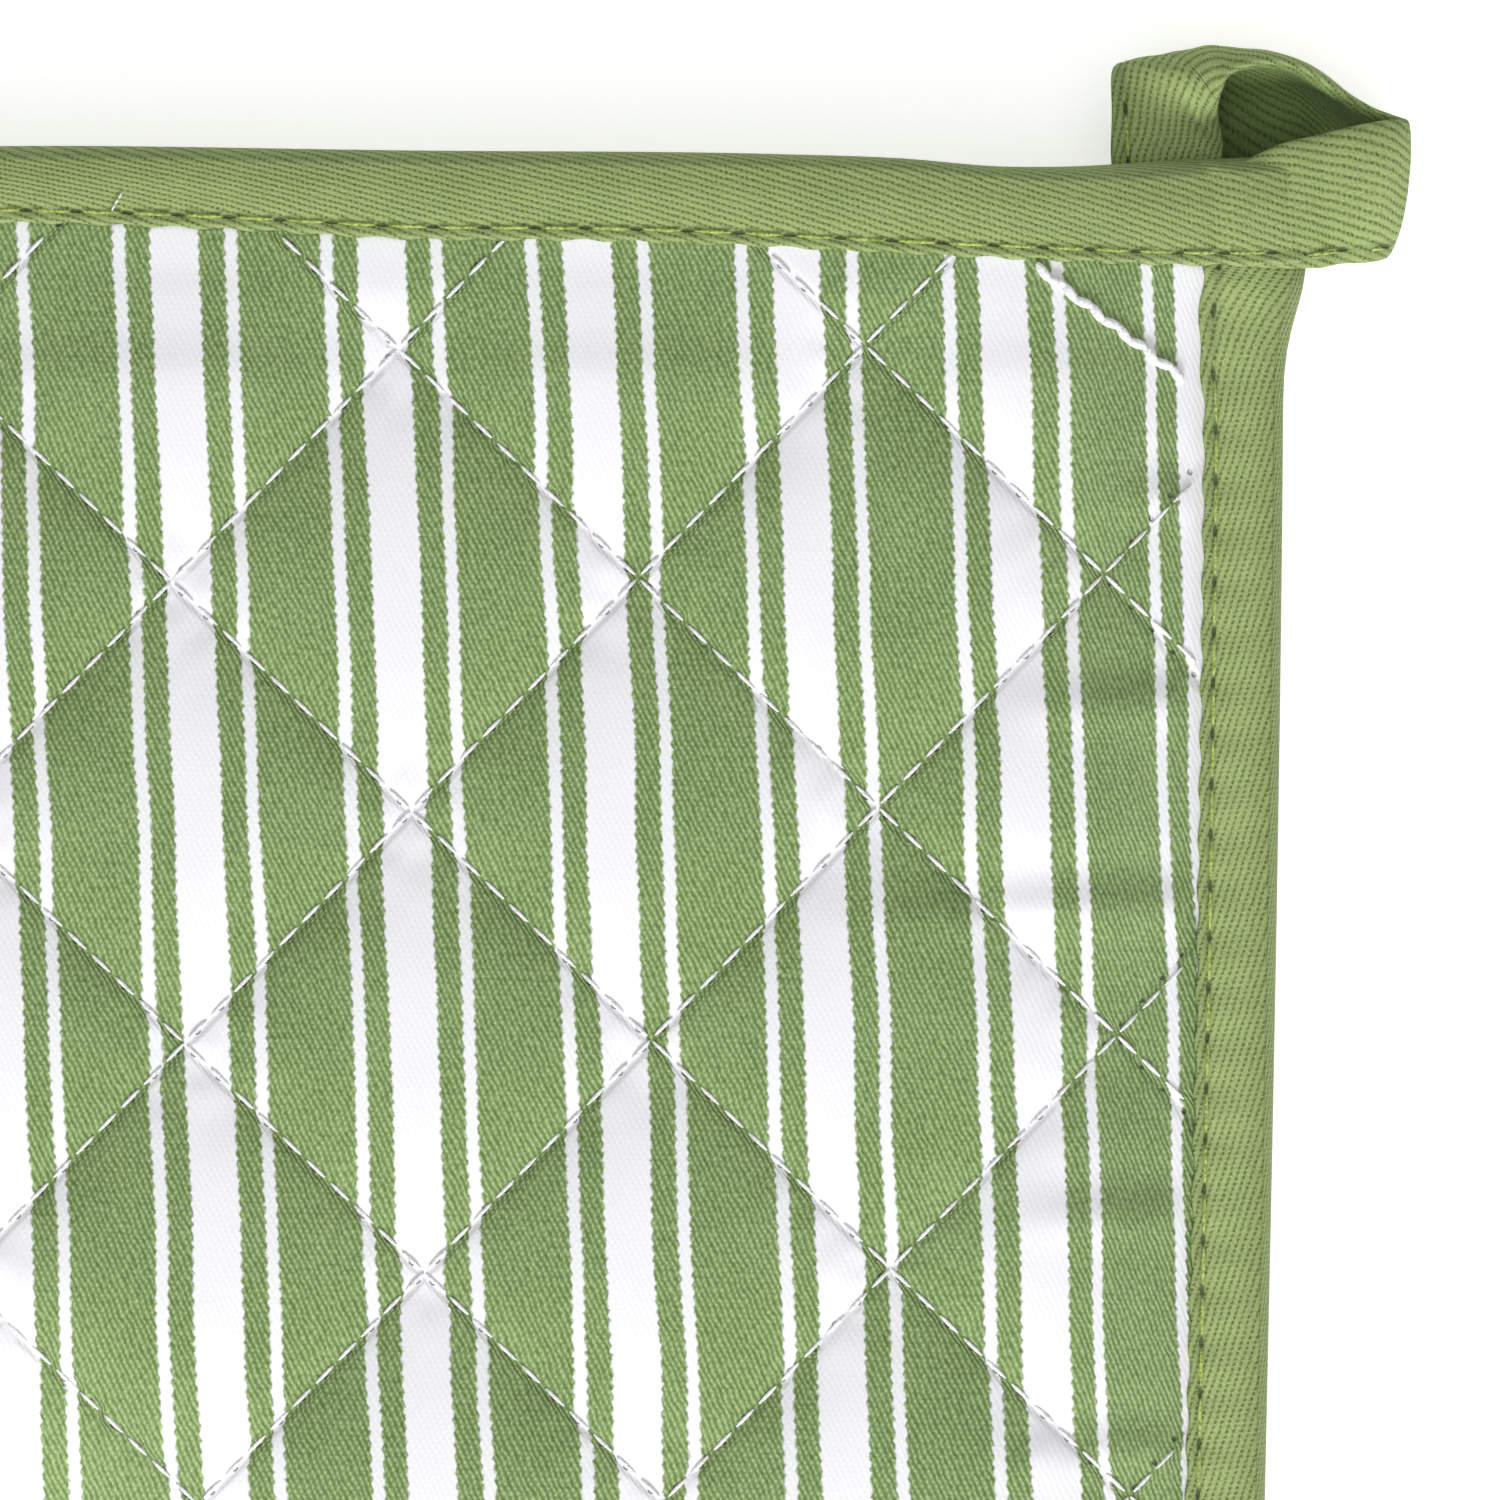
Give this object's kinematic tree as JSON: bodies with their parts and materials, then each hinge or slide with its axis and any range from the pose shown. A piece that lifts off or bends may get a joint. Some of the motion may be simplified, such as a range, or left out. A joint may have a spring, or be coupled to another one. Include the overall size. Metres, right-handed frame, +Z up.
{
  "type": "oven mitt",
  "caption": "Quilted oven mitt with a thumb, a bound side seam, a bound mouth and a hanging loop turned from the end of the mouth binding.",
  "frame": {"origin": "on the flat underside of the back wall, midway across the mitt and midway along it", "axes": "+Y along the mitt towards its mouth, +X to the straight side with the hanging loop, +Z up through the front wall"},
  "size_m": [0.2174, 0.3273, 0.0291],
  "materials": {
    "striped_cotton": "matt twill",
    "batting": "loose fibre",
    "lining_cotton": "matt plain weave",
    "bias_tape": "matt twill",
    "white_thread": "spun thread",
    "green_thread": "spun thread"
  },
  "bodies": {
    "palm": {"front_shell_palm": "striped_cotton", "front_batting_palm": "batting", "front_lining_palm": "lining_cotton", "front_quilting_thread_palm": "white_thread", "back_shell_palm": "striped_cotton", "back_batting_palm": "batting", "back_lining_palm": "lining_cotton", "back_quilting_thread_palm": "white_thread", "side_binding_palm": "bias_tape", "side_topstitch_palm": "green_thread", "cuff_binding": "bias_tape", "loop_tail": "bias_tape", "cuff_topstitch": "green_thread", "loop_tack_stitch": "green_thread"},
    "fingers": {"front_shell_fingers": "striped_cotton", "front_batting_fingers": "batting", "front_lining_fingers": "lining_cotton", "front_quilting_thread_fingers": "white_thread", "back_shell_fingers": "striped_cotton", "back_batting_fingers": "batting", "back_lining_fingers": "lining_cotton", "back_quilting_thread_fingers": "white_thread", "side_binding_fingers": "bias_tape", "side_topstitch_fingers": "green_thread"},
    "thumb": {"front_shell_thumb": "striped_cotton", "front_batting_thumb": "batting", "front_lining_thumb": "lining_cotton", "front_quilting_thread_thumb": "white_thread", "back_shell_thumb": "striped_cotton", "back_batting_thumb": "batting", "back_lining_thumb": "lining_cotton", "back_quilting_thread_thumb": "white_thread", "side_binding_thumb": "bias_tape", "side_topstitch_thumb": "green_thread"},
    "loop": {"hanging_loop": "bias_tape", "loop_topstitch": "green_thread"}
  },
  "joints": [
    {"name": "knuckle_fold", "type": "hinge", "parent": "palm", "child": "fingers", "pos_m": [0.015, -0.045, 0.0274], "axis": [-1, 0, 0], "range_deg": [0, 50], "stiffness_Nm_per_rad": 0.15},
    {"name": "thumb_fold", "type": "hinge", "parent": "palm", "child": "thumb", "pos_m": [-0.055, -0.005, 0.0285], "axis": [-0.7558, 0.6548, 0], "range_deg": [0, 40], "stiffness_Nm_per_rad": 0.06},
    {"name": "loop_swing", "type": "hinge", "parent": "palm", "child": "loop", "pos_m": [0.079, 0.1575, 0.013], "axis": [1, 0, 0], "range_deg": [0, 45], "stiffness_Nm_per_rad": 0.002}
  ]
}
